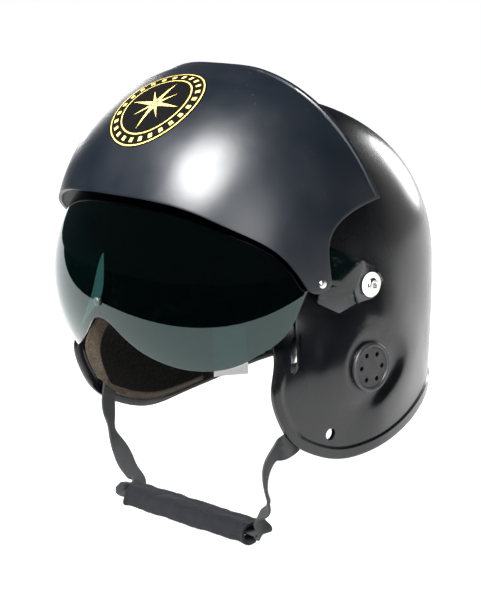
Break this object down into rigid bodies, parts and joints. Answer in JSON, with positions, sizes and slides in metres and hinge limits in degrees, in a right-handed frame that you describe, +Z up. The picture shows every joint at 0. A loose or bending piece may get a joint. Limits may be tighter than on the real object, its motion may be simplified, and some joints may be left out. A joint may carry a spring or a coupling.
{
  "type": "pilot flight helmet",
  "caption": "Open-face flight helmet with a stand-off visor cover, a tinted lens that lifts under it, padded lining, vented ear plates and a chin strap with a padded sleeve.",
  "frame": {"origin": "middle of the wearer's head, level with the pivots of the visor", "axes": "+X to the wearer's left, +Y to the back of the head, +Z up"},
  "size_m": [0.2352, 0.2751, 0.3268],
  "materials": {
    "shell": "satin charcoal paint over laminate",
    "cover": "satin charcoal paint",
    "emblem": "glossy black with pale gold print",
    "bracket": "clear smoky teal",
    "spacer": "moulded",
    "rivet_metal": "nickel plate",
    "lens": "clear dark green",
    "knob": "moulded",
    "foam": "open foam with a leather-like face",
    "tag": "woven tape",
    "sleeve": "brushed pile fabric",
    "webbing": "flat woven webbing"
  },
  "bodies": {
    "helmet": {"helmet_shell": "shell", "left_ear_ring": "shell", "right_ear_ring": "shell", "left_ear_plate": "shell", "right_ear_plate": "shell", "left_pivot_spacer": "spacer", "right_pivot_spacer": "spacer", "left_pivot_washer": "rivet_metal", "right_pivot_washer": "rivet_metal", "left_pivot_rivet": "rivet_metal", "right_pivot_rivet": "rivet_metal", "strap_rivets": "rivet_metal", "crown_lining": "foam", "neck_pad": "foam", "left_ear_pad": "foam", "right_ear_pad": "foam", "care_tag": "tag", "chin_sleeve": "sleeve", "left_chin_strap": "webbing", "right_chin_strap": "webbing"},
    "visor_cover_unit": {"visor_cover": "cover", "emblem_patch": "emblem", "left_bracket": "bracket", "right_bracket": "bracket", "cover_rivets": "rivet_metal"},
    "visor_lens": {"tinted_lens": "lens", "lens_knob": "knob", "knob_nut": "rivet_metal"}
  },
  "joints": [
    {"name": "cover_lift", "type": "hinge", "parent": "helmet", "child": "visor_cover_unit", "pos_m": [0, 0.0085, -0.006], "axis": [-1, 0, 0], "range_deg": [0, 35]},
    {"name": "lens_lift", "type": "hinge", "parent": "visor_cover_unit", "child": "visor_lens", "pos_m": [0, 0.0085, -0.006], "axis": [-1, 0, 0], "range_deg": [0, 45]}
  ]
}
